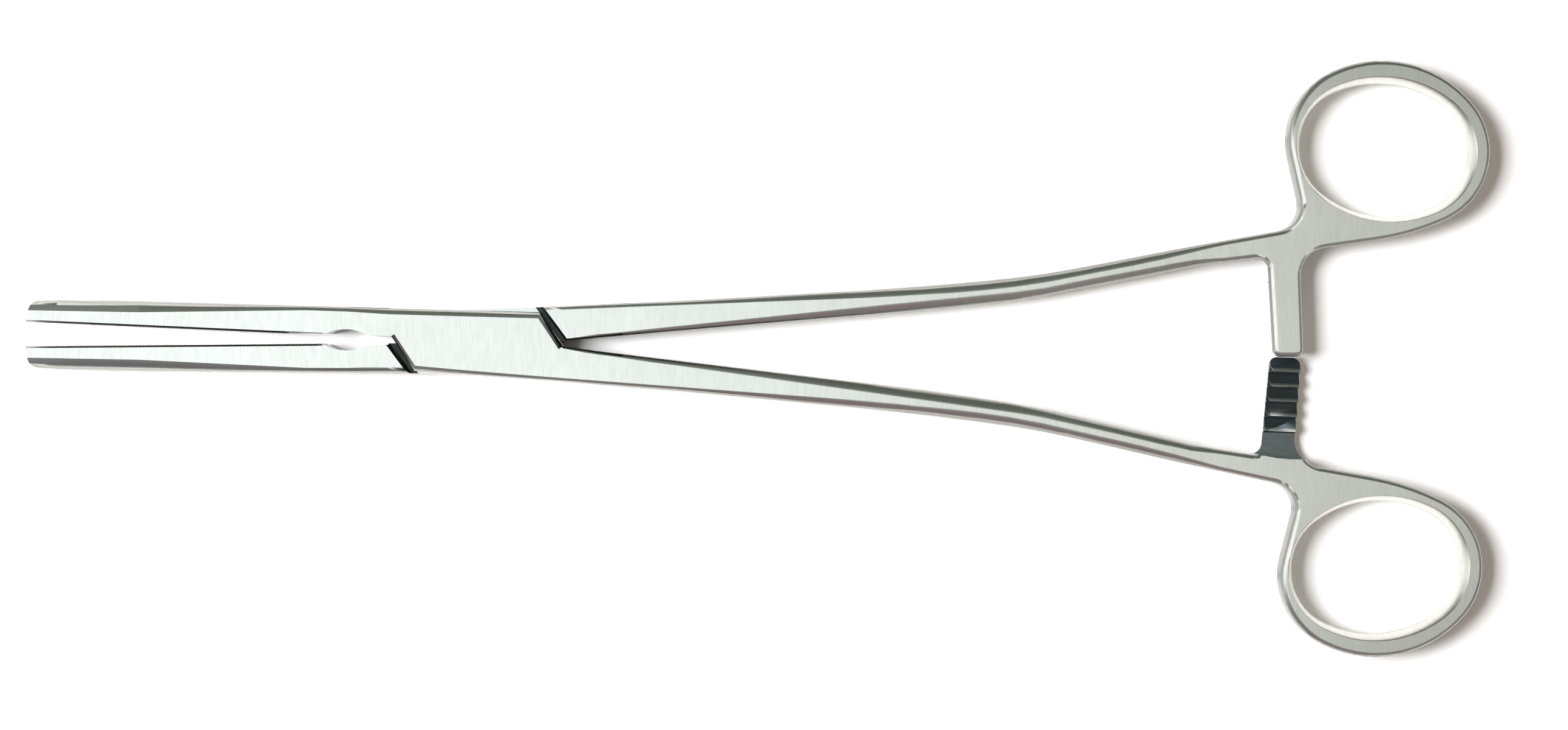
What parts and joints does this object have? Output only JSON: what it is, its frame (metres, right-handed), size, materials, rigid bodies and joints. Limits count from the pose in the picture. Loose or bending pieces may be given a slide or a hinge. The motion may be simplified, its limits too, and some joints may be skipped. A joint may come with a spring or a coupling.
{
  "type": "hysterectomy forceps",
  "caption": "Long ring-handled box-lock clamp with slim straight cross-serrated jaws, oval shanks and a finger-ring ratchet, for holding tissue during surgery.",
  "frame": {"origin": "The pivot's axis, on the flat underside of the box lock that the instrument lies on.", "axes": "+X from the pivot towards the finger rings along the line midway between the two halves, +Y in the plane of the halves towards the ring of the tongue half, +Z along the pivot's axis, up from the surface it lies on."},
  "size_m": [0.2299, 0.094, 0.0054],
  "materials": {
    "box_half": "satin",
    "tongue_half": "satin",
    "pivot_pin": "satin"
  },
  "bodies": {
    "box_half": {"box_half": "box_half", "pivot_pin": "pivot_pin"},
    "tongue_half": {"tongue_half": "tongue_half"}
  },
  "joints": [
    {"name": "box_lock_pivot", "type": "hinge", "parent": "box_half", "child": "tongue_half", "pos_m": [0, 0, 0.0027], "axis": [0, 0, 1], "range_deg": [-3, 57]}
  ]
}
